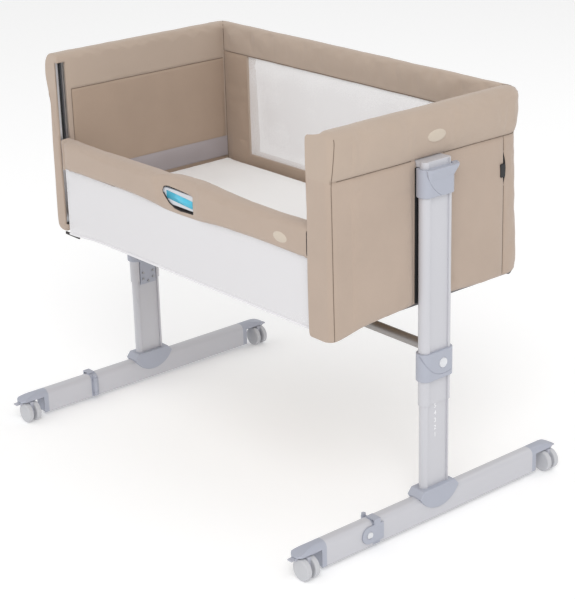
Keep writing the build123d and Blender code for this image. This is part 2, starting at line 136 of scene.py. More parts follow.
def net_material(name, colour, cover, pitch=0.0022):
    """Open knitted net: threads with small round holes; cover is the share that is thread."""
    mat, tree, bsdf = new_material(name)
    bsdf.inputs["Base Color"].default_value = (*colour, 1)
    bsdf.inputs["Roughness"].default_value = 0.9
    bsdf.inputs["Sheen Weight"].default_value = 0.2
    place = node(tree, "ShaderNodeTexCoord")
    cells = node(tree, "ShaderNodeTexVoronoi", Scale=1 / pitch, Randomness=0.15)
    tree.links.new(place.outputs["Object"], cells.inputs["Vector"])
    hole = node(tree, "ShaderNodeMath", operation="GREATER_THAN")
    hole.inputs[1].default_value = 0.6 * math.sqrt(1 - cover)
    tree.links.new(cells.outputs["Distance"], hole.inputs[0])
    tree.links.new(hole.outputs[0], bsdf.inputs["Alpha"])
    bump = node(tree, "ShaderNodeBump", Strength=0.3, Distance=0.0005)
    tree.links.new(cells.outputs["Distance"], bump.inputs["Height"])
    tree.links.new(bump.outputs["Normal"], bsdf.inputs["Normal"])
    return mat


def hard_material(name, colour, rough, metal=0.0, coat=0.0, grain=0.04, scale=600.0):
    mat, tree, bsdf = new_material(name)
    place = mottle(tree, bsdf, colour, 0.25, 6.0, 0.93)
    bsdf.inputs["Metallic"].default_value = metal
    bsdf.inputs["Coat Weight"].default_value = coat
    bsdf.inputs["Coat Roughness"].default_value = 0.15
    speck = node(tree, "ShaderNodeTexNoise", Scale=scale, Detail=2.0)
    tree.links.new(place.outputs["Object"], speck.inputs["Vector"])
    wear = node(tree, "ShaderNodeMapRange")
    wear.inputs["To Min"].default_value = rough * 0.85
    wear.inputs["To Max"].default_value = min(1.0, rough * 1.2)
    tree.links.new(speck.outputs["Fac"], wear.inputs["Value"])
    tree.links.new(wear.outputs["Result"], bsdf.inputs["Roughness"])
    bump = node(tree, "ShaderNodeBump", Strength=grain, Distance=0.0003)
    tree.links.new(speck.outputs["Fac"], bump.inputs["Height"])
    tree.links.new(bump.outputs["Normal"], bsdf.inputs["Normal"])
    return mat


cloth = cloth_material("beige_cloth", (0.475, 0.375, 0.305))
cloth_rim = cloth_material("rim_cloth", (0.485, 0.388, 0.315), mottled=0.35)
cloth_in = cloth_material("inner_cloth", (0.43, 0.325, 0.25))
# Dark strips laid in the seam grooves: painted shade of the seams' creases.
seam_shade = cloth_material("seam_shade", (0.20, 0.15, 0.115), pitch=0.0008)
badge_print = cloth_material("badge_print", (0.60, 0.52, 0.43), pitch=0.0006, mottled=0.1)
hem = cloth_material("hem", (0.80, 0.79, 0.81), pitch=0.0009, mottled=0.2)
# Dark lining, also used as painted shade inside the cover's openings and at the rail's end gap.
lining_and_gap_shade = cloth_material("dark_lining_and_gap_shade", (0.045, 0.04, 0.04), pitch=0.001, sheen=0.1)
white_net = net_material("white_net", (0.70, 0.69, 0.705), 0.86)
back_net_mat = net_material("back_net", (0.88, 0.875, 0.885), 0.8)
grey_net = net_material("grey_net", (0.40, 0.36, 0.37), 0.88)
knit = cloth_material("mattress_knit", (0.96, 0.955, 0.95), pitch=0.0018, bump=0.35, mottled=0.15)
enamel = hard_material("enamel", (0.57, 0.57, 0.605), 0.32, coat=0.25, grain=0.03)
plastic = hard_material("blue_grey_plastic", (0.415, 0.435, 0.505), 0.42, grain=0.08)
button = hard_material("button_plastic", (0.72, 0.73, 0.76), 0.3, coat=0.3)
caster = hard_material("caster_plastic", (0.46, 0.47, 0.53), 0.42, grain=0.06)
wheel = hard_material("wheel_plastic", (0.55, 0.555, 0.58), 0.5, grain=0.08)
steel = hard_material("screw_steel", (0.35, 0.35, 0.36), 0.3, metal=1.0)
bar_paint = hard_material("bar_paint", (0.33, 0.31, 0.30), 0.35, metal=0.6)
frame_paint = hard_material("frame_paint", (0.12, 0.12, 0.125), 0.5)
alu = hard_material("anodised", (0.70, 0.71, 0.74), 0.35, metal=0.9, grain=0.06, scale=900.0)
# Black: the buckle's own colour, and painted shade in the tracks' grooves and in the gap beside
# each post.
black_trim_and_shade = hard_material("black_trim", (0.018, 0.018, 0.02), 0.55)
board = hard_material("board", (0.32, 0.22, 0.13), 0.7, grain=0.2, scale=90.0)
grip = hard_material("grip_plastic", (0.60, 0.62, 0.66), 0.35, coat=0.3)
blue_band = hard_material("turquoise", (0.07, 0.52, 0.72), 0.4, coat=0.4)
white_print = hard_material("white_print", (0.9, 0.9, 0.92), 0.5)

PLASTIC_NODES = (
    "height_collar", "top_cap", "release_lever", "saddle",
    "rear_cap", "front_cap", "arm_knuckle", "fold_plate",
)
for names, mat in (
    (("sleeve_tube", "leg_tube", "hanger", "foot_beam", "arm_beam"), enamel),
    (PLASTIC_NODES, plastic),
    (("height_button", "latch_button"), button),
    (("caster_fork", "brake_lever"), caster),
    (("caster_wheels",), wheel),
    (("collar_screws",), steel),
    (("cross_bar",), bar_paint),
    (("crib_frame",), frame_paint),
    (("front_tracks", "rail_bar"), alu),
    # post_strips are dark strips standing in for the shade in the gap between each post and the
    # cover: painted shade.
    (("post_strips", "buckle"), black_trim_and_shade),
    (("mattress_board",), board),
    (("rail_handle",), grip),
):
    for name, obj in nodes.items():
        if name.startswith(names):
            obj.data.materials.clear()
            obj.data.materials.append(mat)


# ---------------------------------------------------------------- mesh helpers
def mm(*values):
    return tuple(v / 1000 for v in values)


def node_box(name):
    """Lowest and highest corner of a CAD node at rest, in millimetres."""
    return [[round(v * 1000, 1) for v in corner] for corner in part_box(name)]


def steps(first, last, count):
    """Values from first to last, in count equal steps."""
    return [first + (last - first) * k / count for k in range(count + 1)]


def span(first, last, step=4.0):
    """Values from first to last, a little more than step apart."""
    return steps(first, last, max(1, int(abs(last - first) / step)))


def spread(low, high, seams, step, near=1.6):
    """Values from low to high no further apart than step, closer on both sides of each seam."""
    marks = sorted([low, high] + [v for s in seams for v in (s - near, s, s + near)])
    found = []
    for a, b in zip(marks[:-1], marks[1:]):
        found += steps(a, b, max(1, math.ceil((b - a) / step)))[:-1]
    return found + [high]


def shade_smooth(obj):
    for face in obj.data.polygons:
        face.use_smooth = True


def mesh_object(name, bm, mat):
    data = bpy.data.meshes.new(name)
    bm.to_mesh(data)
    bm.free()
    obj = bpy.data.objects.new(name, data)
    scene.collection.objects.link(obj)
    obj.data.materials.append(mat)
    shade_smooth(obj)
    return obj


def mesh_from_curve(name, curve, mat):
    """Turns curve or text data into a mesh object."""
    obj = bpy.data.objects.new(name, curve)
    scene.collection.objects.link(obj)
    dg = bpy.context.evaluated_depsgraph_get()
    data = bpy.data.meshes.new_from_object(obj.evaluated_get(dg))
    bpy.data.objects.remove(obj)
    made = bpy.data.objects.new(name, data)
    scene.collection.objects.link(made)
    made.data.materials.clear()
    made.data.materials.append(mat)
    return made


def bridge(bm, first, second):
    """Faces between two closed rings of vertices."""
    count = len(first)
    for i in range(count):
        j = (i + 1) % count
        bm.faces.new((first[i], first[j], second[j], second[i]))


def prism(bm, outline, between, axis):
    """A closed prism: outline in the two other axes, and its two ends along axis. Millimetres."""
    rings = []
    for value in between:
        ring = []
        for a, b in outline:
            point = {"X": (value, a, b), "Y": (a, value, b), "Z": (a, b, value)}[axis]
            ring.append(bm.verts.new(mm(*point)))
        rings.append(ring)
    bridge(bm, *rings)
    bm.faces.new(rings[0])
    bm.faces.new(list(reversed(rings[1])))


def block(bm, x, y, z):
    x = sorted(x)
    prism(bm, [(x[0], y[0]), (x[1], y[0]), (x[1], y[1]), (x[0], y[1])], z, "Z")


def apply_modifiers(obj):
    dg = bpy.context.evaluated_depsgraph_get()
    data = bpy.data.meshes.new_from_object(obj.evaluated_get(dg))
    obj.modifiers.clear()
    obj.data = data


def smoothed(obj, factor, iterations):
    mod = obj.modifiers.new("smooth", "SMOOTH")
    mod.factor = factor
    mod.iterations = iterations
    apply_modifiers(obj)


def remeshed(name, bm, mat, voxel, rounding):
    """Turns the blocks into one even skin and rounds its edges. Voxel size in millimetres."""
    bmesh.ops.recalc_face_normals(bm, faces=bm.faces)
    obj = mesh_object(name, bm, mat)
    mod = obj.modifiers.new("remesh", "REMESH")
    mod.mode = "VOXEL"
    mod.voxel_size = voxel / 1000
    mod.use_smooth_shade = True
    apply_modifiers(obj)
    smoothed(obj, 0.5, rounding)
    return obj


def subdivide(obj):
    mod = obj.modifiers.new("subsurf", "SUBSURF")
    mod.levels = 1
    mod.render_levels = 1
    apply_modifiers(obj)
    shade_smooth(obj)


def subtract(obj, bm):
    """Cuts the solid in bm out of a finished piece."""
    bmesh.ops.recalc_face_normals(bm, faces=bm.faces)
    cutter = mesh_object("cutter", bm, lining_and_gap_shade)
    mod = obj.modifiers.new("cut", "BOOLEAN")
    mod.operation = "DIFFERENCE"
    mod.object = cutter
    mod.solver = "EXACT"
    apply_modifiers(obj)
    bpy.data.objects.remove(cutter)


def carve(obj, x, y, z):
    """Cuts a box out of a finished piece, given by its ends along each axis in millimetres."""
    bm = bmesh.new()
    block(bm, x, y, z)
    subtract(obj, bm)


def vertex_values(data, what):
    flat = np.empty(len(data.vertices) * 3)
    data.vertices.foreach_get(what, flat)
    return flat.reshape(-1, 3)


def coords(obj):
    return vertex_values(obj.data, "co")


def normals(obj):
    return vertex_values(obj.data, "normal")


def set_coords(obj, points):
    obj.data.vertices.foreach_set("co", points.astype(np.float32).ravel())
    obj.data.update()


def inflate(obj, held, slack, cap, frames=20):
    """Cloth under light pressure, pinned where held(x, y, z) in millimetres is true.

    No point moves further than cap, in metres."""
    start = coords(obj)
    group = obj.vertex_groups.new(name="held")
    pinned = [i for i, p in enumerate(start * 1000) if held(*p)]
    group.add(pinned, 1.0, "REPLACE")
    mod = obj.modifiers.new("cloth", "CLOTH")
    settings = mod.settings
    settings.quality = 5
    settings.mass = 0.3
    settings.tension_stiffness = 12
    settings.compression_stiffness = 12
    settings.shear_stiffness = 5
    settings.bending_stiffness = 0.6
    settings.shrink_min = -slack
    settings.use_pressure = True
    settings.uniform_pressure_force = 4.0
    settings.effector_weights.gravity = 0.0
    settings.vertex_group_mass = "held"
    mod.collision_settings.use_collision = False
    mod.point_cache.frame_start = 1
    mod.point_cache.frame_end = frames
    for step in range(1, frames + 1):
        scene.frame_set(step)
    dg = bpy.context.evaluated_depsgraph_get()
    moved = vertex_values(obj.evaluated_get(dg).data, "co") - start
    length = np.linalg.norm(moved, axis=1, keepdims=True)
    moved *= np.minimum(1.0, cap / np.maximum(length, 1e-9))
    obj.modifiers.clear()
    obj.vertex_groups.clear()
    set_coords(obj, start + moved)
    scene.frame_set(1)
    smoothed(obj, 0.4, 2)


def creases(obj, amount, size, stretch, seed):
    """Slack cloth: low ripples along the normal. Millimetres."""
    points = coords(obj)
    out = normals(obj)
    shift = np.empty(len(points))
    for i, p in enumerate(points * 1000):
        q = Vector((p[0] * stretch[0], p[1] * stretch[1], p[2] * stretch[2])) / size
        a = noise.noise(q + Vector((seed, 0, 0)))
        b = noise.noise(q * 2.3 + Vector((0, seed, 5)))
        shift[i] = amount * (a + 0.4 * b)
    set_coords(obj, points + out * shift[:, None] / 1000)


def seam(name, points, mat, radius):
    """A thin round strip through the points, in millimetres: a seam or hem, or a dark strip
    painted in as the shade of a seam's crease or of a gap.
    """
    curve = bpy.data.curves.new(name, "CURVE")
    curve.dimensions = "3D"
    curve.bevel_depth = radius / 1000
    curve.bevel_resolution = 2
    spline = curve.splines.new("POLY")
    spline.points.add(len(points) - 1)
    for slot, p in zip(spline.points, points):
        slot.co = (*mm(*p), 1)
    made = mesh_from_curve(name, curve, mat)
    shade_smooth(made)
    return made


def oval(name, centre, size, mat):
    """A plain oval badge with a domed face; size holds its half sizes. Millimetres."""
    bm = bmesh.new()
    bmesh.ops.create_uvsphere(bm, u_segments=40, v_segments=20, radius=1.0)
    obj = mesh_object(name, bm, mat)
    obj.data.transform(Matrix.Diagonal((*mm(*size), 1)))
    obj.data.transform(Matrix.Translation(mm(*centre)))
    return obj


def net_sheet(name, x, y, z, mat, sag, axis="Y"):
    """A thin sheet of net in the plane y (or x when axis is X), with a little slack."""
    mesh_step = 8.0
    bm = bmesh.new()
    across = x if axis == "Y" else y
    nu = max(2, int((across[1] - across[0]) / mesh_step))
    nv = max(2, int((z[1] - z[0]) / mesh_step))
    grid = []
    for j in range(nv + 1):
        row = []
        for i in range(nu + 1):
            u = i / nu
            v = j / nv
            a = across[0] + (across[1] - across[0]) * u
            c = z[0] + (z[1] - z[0]) * v
            belly = sag * math.sin(math.pi * u) ** 0.5 * math.sin(math.pi * v)
            belly += 0.5 * noise.noise(Vector((a / 70, c / 50, 2.0))) * math.sin(math.pi * v)
            place = (a, y + belly, c) if axis == "Y" else (x + belly, a, c)
            row.append(bm.verts.new(mm(*place)))
        grid.append(row)
    for low, high in zip(grid[:-1], grid[1:]):
        for i in range(nu):
            bm.faces.new((low[i], low[i + 1], high[i + 1], high[i]))
    return mesh_object(name, bm, mat)


# ---------------------------------------------------------------- sizes from the frame, in mm
end_lo, end_hi = node_box("end_panel_right")
back_lo, back_hi = node_box("back_panel")
rim_lo, rim_hi = node_box("rim_band")
flap_lo, flap_hi = node_box("corner_flap")
strip_lo, strip_hi = node_box("post_strips")
track_lo, track_hi = node_box("front_tracks")
window_lo, window_hi = node_box("back_mesh")
pad_lo, pad_hi = node_box("rail_pad")
mattress_lo, mattress_hi = node_box("mattress")

IN_X = end_lo[0] + 1.0  # inner face of each end
OUT_X = end_hi[0]  # outer face of each end
FRONT = end_lo[1] + 0.5  # front edge of the left end
IN_BACK = back_lo[1] - 0.5  # inner face of the back
OUT_BACK = back_hi[1] - 0.5  # outer face of the back
TOP = rim_hi[2] - 0.5
FLAP_FRONT = flap_lo[1] + 0.5  # outer face of the flap
FLAP_END = flap_lo[0] + 1.0  # the flap's free edge
REAR_RADIUS = 25.0  # rear corners, in plan
FLAP_RADIUS = 14.0  # right front corner, in plan
OUT_SEAM = rim_lo[2] - 0.5  # seam under the rim band, outside
END_SEAM = 707.0  # the same seam inside the ends
BACK_SEAM = 722.0  # the same seam inside the back
VENT_TOP = 534.0  # seam above the nets low inside the ends
REAR_SEAM_Y = 200.5  # upright seam near each rear corner
FRONT_SEAM_Y = -176.5  # upright seam inside each end, behind the track
POST_Y = (strip_lo[1] + strip_hi[1]) / 2  # middle of the posts
WINDOW_X = window_hi[0] + 0.5  # half width of the back window
WINDOW_LOW = window_lo[2] - 0.5
WINDOW_TOP = BACK_SEAM - 1.0
SEAM_GAP = 1.6  # the mesh has a row of points this far from each seam, on both sides
HEM = 3.0  # rounding of the cover's lower edge


# ---------------------------------------------------------------- the tracks' inner faces, painted black as the shade in their grooves
TRACK_FACE_Y = (track_lo[1] + track_hi[1]) / 2
tracks = nodes["front_tracks"].data
tracks.materials.append(black_trim_and_shade)
for face in tracks.polygons:
    if abs(face.center.y * 1000 - TRACK_FACE_Y) < 4:
        face.material_index = 1


# ---------------------------------------------------------------- crib cover
# One sewn cover: rim band, two ends, back and the flap round the right front corner.
SIDE_Y = spread(FRONT + 5, OUT_BACK - REAR_RADIUS, (FRONT + 7.5, FRONT_SEAM_Y, REAR_SEAM_Y), 7.2)


def on_circle(x, y, radius, degrees):
    angle = math.radians(degrees)
    return x + radius * math.cos(angle), y + radius * math.sin(angle)


def stations():
    """Inner and outer point at each station round the crib, from left front to right front."""
    corner_x = OUT_X - REAR_RADIUS
    corner_y = OUT_BACK - REAR_RADIUS
    back_x = IN_X - 8
    found = [((-IN_X, y), (-OUT_X, y)) for y in [FRONT, FRONT + 1.5, FRONT + 4] + SIDE_Y]
    for k in range(1, 9):
        outer = on_circle(-corner_x, corner_y, REAR_RADIUS, 180 - 90 * k / 8)
        found.append(((-IN_X + 0.5 * k, IN_BACK), outer))
    for x in steps(-back_x, back_x, 110)[1:-1]:
        found.append(((x, IN_BACK), (x * corner_x / back_x, OUT_BACK)))
    for k in range(8, 0, -1):
        outer = on_circle(corner_x, corner_y, REAR_RADIUS, 90 * k / 8)
        found.append(((IN_X - 0.5 * k, IN_BACK), outer))
    found += [((IN_X, y), (OUT_X, y)) for y in reversed(SIDE_Y)]
    flap_x = OUT_X - FLAP_RADIUS
    flap_y = FLAP_FRONT + FLAP_RADIUS
    for k in range(1, 7):
        outer = on_circle(flap_x, flap_y, FLAP_RADIUS, -90 * k / 6)
        found.append(((IN_X + 0.3 * k, flap_y + 0.5 - 1.7 * k), outer))
    for k in range(1, 9):
        inner = (402.3 - (402.3 - FLAP_END) * k / 8, FLAP_FRONT + 3.6)
        found.append((inner, (flap_x - (flap_x - FLAP_END) * k / 8, FLAP_FRONT)))
    found.append(((FLAP_END + 1, FLAP_FRONT + 2.6), (FLAP_END - 0.4, FLAP_FRONT + 1.4)))
    return found


def bottom_of(x, y):
    """Height of the cover's lower edge."""
    if y > 200:
        return float(np.interp(y, [200, 222, 242], [425, 427, 434]))
    if x > 380 and y < -212:
        return 408.0
    along = [-209, -190, -150, 10, 150, 200]
    return float(np.interp(y, along, [408, 411, 419, 431, 425, 425]))


def top_of(x, y):
    """Height of the cover's upper edge, which drops along the flap."""
    if x > 0 and y < -214:
        return float(np.interp(x, [373, 385, 400, 420, 437], [771.5, 773, 775, 779, 783]))
    return TOP


def outer_bulge(z, rear=0.0):
    """How far the outer face stands out at each height; rear is 1 on the back, which is fuller."""
    fuller = rear * float(np.interp(z, [430, 560, 690], [5.5, 4.0, 0.0]))
    heights = [405, 430, 600, 690, 697, 712, 740, 784]
    return fuller + float(np.interp(z, heights, [0.5, 1.5, 0.0, -2.5, -3.5, 2.0, 4.8, 3.5]))


def section_of(inner, outer, thick):
    """The cover cut across at one station, as (distance out from its inner face, height)."""
    low = bottom_of(*outer)
    high = top_of(*outer)
    bend = min(25.0, thick * 0.55)
    inner_bend = min(11.0, thick * 0.4)
    swell = 1.0 if thick > 12 else 0.3
    rear = min(1.0, max(0.0, (outer[1] - 205) / 30)) / swell
    heights = steps(low + HEM, OUT_SEAM - SEAM_GAP, 36) + [OUT_SEAM]
    heights += steps(OUT_SEAM + SEAM_GAP, high - bend, 8)
    section = [(thick + outer_bulge(z, rear) * swell, z) for z in heights]
    wide = bend + outer_bulge(rim_hi[2]) * swell
    for k in range(1, 6):
        angle = math.radians(90 * k / 6)
        out = thick - bend + wide * math.cos(angle)
        section.append((out, high - bend + bend * math.sin(angle)))
    section.append((thick * 0.5, high))
    for k in range(1, 5):
        section.append(on_circle(inner_bend, high - inner_bend, inner_bend, 90 + 90 * k / 5))
    in_seam = BACK_SEAM if inner[1] >= IN_BACK else END_SEAM
    heights = steps(high - inner_bend, in_seam + SEAM_GAP, 8) + [in_seam]
    heights += steps(in_seam - SEAM_GAP, VENT_TOP + SEAM_GAP, 22) + [VENT_TOP]
    heights += steps(VENT_TOP - SEAM_GAP, low + HEM, 14)
    section += [(0.0, z) for z in heights]
    return section + [(thick * 0.33, low), (thick * 0.66, low)]


def cover_rings(bm):
    """One closed ring of vertices per station."""
    rings = []
    for inner, outer in ring:
        way = Vector((outer[0] - inner[0], outer[1] - inner[1]))
        thick = way.length
        way.normalize()
        made = []
        for n, z in section_of(inner, outer, thick):
            made.append(bm.verts.new(mm(inner[0] + way.x * n, inner[1] + way.y * n, z)))
        rings.append(made)
    return rings


def cover_held(x, y, z):
    """Where the cover is sewn or stretched over its frame."""
    outside = abs(x) > 430 or y > 235
    inside_seam = BACK_SEAM if y > 210 else END_SEAM
    seam_z = OUT_SEAM if outside else inside_seam
    if abs(z - seam_z) < 9 or z < 434 or z > 781:
        return True
    if y < -172:
        return True
    if outside and (abs(y - POST_Y) < 44 or abs(y - REAR_SEAM_Y) < 5):
        return True
    if y > 205 and abs(abs(x) - WINDOW_X) < 8:
        return True
    if y > 205 and abs(x) < WINDOW_X + 7 and z < WINDOW_LOW + 7:
        return True
    return abs(abs(x) - IN_X) < 4 and abs(y - IN_BACK) < 6


def press_seams(obj):
    """Presses grooves along the sewn seams, and the cover flat against what it lies on."""
    points = coords(obj) * 1000
    x, y, z = points.T
    outside = (np.abs(x) > 430) | (y > 235)
    ends_in = (np.abs(x) < 408) & (y < 212) & (np.abs(x) > 396)
    back_in = (y > 212) & (y < 222)
    end_sides = (np.abs(x) > 425) & (y > 150) & (z < OUT_SEAM)
    corners_in = np.hypot(np.abs(x) - 400, y - 217) < 9
    groove = np.zeros(len(points))
    groove_width = 2.0
    for where, distance, depth in (
        (outside, z - OUT_SEAM, 2.2),
        (ends_in & (y > -177), z - END_SEAM, 1.6),
        (back_in, z - BACK_SEAM, 1.6),
        (ends_in & (y > -177), z - VENT_TOP, 1.2),
        (end_sides, y - REAR_SEAM_Y, 2.0),
        (ends_in & (z < END_SEAM), y - FRONT_SEAM_Y, 1.4),
        (corners_in, np.abs(x) - 402, 1.6),
    ):
        pressed = np.where(where, depth * np.exp(-((distance / groove_width) ** 2)), 0)
        groove = np.maximum(groove, pressed)
    points -= normals(obj) * groove[:, None]
    # The left end's front corner swells outwards at the height of the rim.
    x -= 5.0 * np.clip((-110 - y) / 60, 0, 1) * np.exp(-(((z - 742) / 34) ** 2)) * (x < -424)
    post = (np.abs(y - POST_Y) < 42.5) & (z < 698)
    inner_face = (np.abs(x) < 404) & (y < 212) & (y > -205)
    for side, _ in SIDES:
        behind_post = post & (side * x > 434)
        x[behind_post] = side * np.minimum(side * x[behind_post], 434.9)
        facing_in = inner_face & (side * x > 0)
        x[facing_in] = side * np.maximum(side * x[facing_in], 399.9)
    set_coords(obj, points / 1000)


ring = stations()
bm = bmesh.new()
rings = cover_rings(bm)
for first, second in zip(rings[:-1], rings[1:]):
    bridge(bm, first, second)
for end in (rings[0], rings[-1]):
    centre = bm.verts.new(sum((v.co for v in end), Vector()) / len(end))
    for first, second in zip(end, end[1:] + end[:1]):
        bm.faces.new((first, second, centre))
bmesh.ops.recalc_face_normals(bm, faces=bm.faces)
cover = mesh_object("crib_cover", bm, cloth)
cover.data.materials.append(cloth_in)
cover.data.materials.append(cloth_rim)
cover.data.materials.append(lining_and_gap_shade)
inflate(cover, cover_held, cap=0.003, slack=0.025)
creases(cover, 0.9, 95, (1, 1, 0.9), 3.0)
creases(cover, 0.45, 34, (1, 1, 0.45), 9.0)
subdivide(cover)
press_seams(cover)


def seam_shade_line(name, points, ways=repeat(None), radius=0.85):
    """A dark strip laid on the finished cover along a seam, in millimetres: painted shade of the
    seam's crease.

    ways holds the direction from each point to the cover. Where it is None, the strip goes to
    the nearest place on the cover."""
    laid = []
    for p, way in zip(points, ways):
        if way is None:
            found, spot, facing, _ = cover.closest_point_on_mesh(mm(*p))
        else:
            way = Vector(way).normalized()
            found, spot, facing, _ = cover.ray_cast(Vector(mm(*p)) - way * 0.02, way)
        if found:
            laid.append(tuple((spot + facing * 0.0001) * 1000))
    strip = seam(name, laid, seam_shade, radius)
    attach(strip, "crib")


def band_seam_shade(name, where):
    """Painted shade of the seam under the rim band, outside, at the stations whose outer point
    where() takes.
    """
    chosen = [(inner, outer) for inner, outer in ring if where(*outer)]
    places = [(*outer, OUT_SEAM) for _, outer in chosen]
    seam_shade_line(name, places, [(a[0] - b[0], a[1] - b[1], 0) for a, b in chosen])


# The dark strips below are painted shade along the seams' creases.
for side, label in SIDES:
    inwards = repeat((-side, 0, 0))
    outwards = repeat((side, 0, 0))
    band_seam_shade(f"band_seam_rear_shade_{label}", lambda x, y: x * side > 330 and y > 46)
    band_seam_shade(f"band_seam_front_shade_{label}", lambda x, y: x * side > 400 and -206 < y < -25)
    line = [(side * IN_X, y, END_SEAM) for y in span(FRONT_SEAM_Y, 213)]
    seam_shade_line(f"inner_seam_shade_{label}", line, outwards)
    line = [(side * IN_X, FRONT_SEAM_Y, z) for z in span(446, END_SEAM)]
    seam_shade_line(f"inner_front_{label}", line, outwards, 0.7)
    line = [(side * (IN_X + 0.3), IN_BACK + 0.2, z) for z in span(446, 770)]
    seam_shade_line(f"inner_corner_{label}", line, radius=0.7)
    line = [(side * OUT_X, REAR_SEAM_Y, z) for z in span(430, 604)]
    seam_shade_line(f"rear_seam_{label}", line, inwards)
    above = 670 if side > 0 else 604
    line = [(side * OUT_X, REAR_SEAM_Y, z) for z in span(above, OUT_SEAM)]
    seam_shade_line(f"rear_seam_top_shade_{label}", line, inwards)
# More dark strips: painted shade along the seams' creases.
line = [(x, IN_BACK, BACK_SEAM + 0.4) for x in span(-396, 396)]
seam_shade_line("back_seam_shade", line, repeat((0, 1, 0)))
line = []
for z in span(410, 774):
    line.append((439, np.interp(z, [410, 560, 690, 770], [-218.2, -219.6, -220.2, -213]), z))
seam_shade_line("corner_seam_shade_right", line, radius=0.7)
OVER_RIM = [(402, 218, 768), (403, 219, 777), (407, 222, 786), (413, 227, 787)]
OVER_RIM += [(419, 232, 787), (426, 238, 781), (430, 242, 772)]
for side, label in SIDES:
    seam_shade_line(f"rim_corner_{label}", [(side * x, y, z) for x, y, z in OVER_RIM], radius=0.6)

# Openings: the back window, then on each side the track's slot, the gap in front of it and the
# notch round the post, and the lens-shaped gap that the buckle's strap comes out of.
carve(cover, (-WINDOW_X, WINDOW_X), (205, 260), (WINDOW_LOW, WINDOW_TOP))
track_z = (track_lo[2] - 2, track_hi[2] + 1)
for side, _ in SIDES:
    carve(cover, (side * 408.8, side * 418.4), (track_lo[1] - 0.4, track_hi[1] + 0.4), track_z)
    carve(cover, (side * 390, side * 409), (-214 if side < 0 else -218, -187.2), track_z)
    carve(cover, (side * 417, side * 445), (POST_Y - 31.5, POST_Y + 31.5), (685.4, 697.5))
BUCKLE_GAP = [(200.4, 606), (197.6, 622), (196.6, 638), (197.8, 652)]
BUCKLE_GAP += [(200.4, 670), (203.2, 652), (204.4, 638), (203.2, 622)]
bm = bmesh.new()
prism(bm, BUCKLE_GAP, (424, 452), "X")
subtract(cover, bm)


def cover_look(place, facing):
    """Which of the cover's four materials a face has: outer, inner, rim, or dark lining painted as
    the shade inside the track slots and the buckle's gap.
    """
    x, y, z = place
    # Faces inside the track slots and the buckle's gap get the dark lining: painted shade in these
    # openings.
    in_slot = 401.5 < abs(x) < 418.6 and -205.8 < y < -184.9 and 425.5 < z < 765.5
    at_buckle = 424 < x < 436.5 and 196 < y < 205 and 604 < z < 671
    if in_slot or (at_buckle and (abs(facing.x) < 0.6 or x < 426)):
        return 3
    inner_end = abs(x) < 404 and facing.x * x < 0 and y < 214
    inner_back = 210 < y < 221 and facing.y < -0.5
    if inner_end and y > FRONT_SEAM_Y - 0.1 and z < END_SEAM:
        return 1
    if inner_back and z < BACK_SEAM:
        return 1
    return 2 if z > OUT_SEAM else 0


shade_smooth(cover)
for face in cover.data.polygons:
    face.material_index = cover_look(face.center * 1000, face.normal)
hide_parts("rim_band", "end_panel_left", "end_panel_right", "back_panel", "corner_flap")
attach(cover, "crib")

bm = bmesh.new()
block(bm, (-406, -356), (-213.2, -209.4), (405.5, 411.5))
tape = remeshed("corner_tape", bm, lining_and_gap_shade, 1.2, 2)
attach(tape, "crib")


# ---------------------------------------------------------------- nets in the cover
NET_EDGE = 3.0  # how far the back net reaches under its seams
net_x = (-WINDOW_X - NET_EDGE, WINDOW_X + NET_EDGE)
net_z = (WINDOW_LOW - 5, WINDOW_TOP + NET_EDGE)
back_net = net_sheet("back_net", net_x, 222.5, net_z, back_net_mat, 0.8)
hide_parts("back_mesh")
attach(back_net, "crib")
for side, label in SIDES:
    vent_z = (mattress_hi[2], VENT_TOP)
    vent_y = (mattress_lo[1], mattress_hi[1] - 0.5)
    vent = net_sheet(f"vent_net_{label}", side * 398.7, vent_y, vent_z, grey_net, -side * 0.6, "X")
    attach(vent, "crib")


# ---------------------------------------------------------------- front net
NET_LOW = 420.0
NET_HIGH = 550.0
NET_LEFT = -387


def net_foot(x):
    """Height of the front net's lower edge, which dips at the open left corner."""
    return NET_LOW - 8 * math.exp(-(((x - NET_LEFT) / 70) ** 2))


front_net = net_sheet("front_net", (NET_LEFT, 396), -213.6, (NET_LOW, NET_HIGH), white_net, -1.2)
points = coords(front_net) * 1000
foot = np.array([net_foot(x) for x in points[:, 0]])
stretched = (NET_HIGH - foot) / (NET_HIGH - NET_LOW)
points[:, 2] = NET_HIGH - (NET_HIGH - points[:, 2]) * stretched
set_coords(front_net, points / 1000)
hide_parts("front_mesh")
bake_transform(front_net)
line = [(x, -213.8, net_foot(x) - 1.0) for x in range(NET_LEFT + 1, 398, 6)]
front_hem = seam("front_hem", line, hem, 2.2)
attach(front_hem, "crib")


# ---------------------------------------------------------------- front rail
RAIL_X = pad_hi[0] - 0.5
RAIL_Y = (pad_lo[1] + 1.5, pad_hi[1] - 1.5)
RAIL_Z = (pad_lo[2] + 1, pad_hi[2] - 1)
WINDOW = [(-46, 582), (-43, 588), (-36, 591), (-24, 592.5), (0, 592)]
WINDOW += [(30, 590), (45, 587.5), (46, 586), (46, 554), (44, 552)]
WINDOW += [(10, 551), (-10, 553), (-27, 560), (-39, 570), (-45, 577)]


def rail_held(x, y, z):
    """The rail's two ends and the cloth round its window."""
    return abs(x) > RAIL_X - 3 or (abs(x) < 52 and z < 600 and y < -205)


def rail_face(x, z):
    """Point on the front face of the padded rail, in millimetres."""
    _, spot, _, _ = rail.ray_cast(Vector(mm(x, -260, z)), Vector((0, 1, 0)))
    return tuple(spot * 1000)


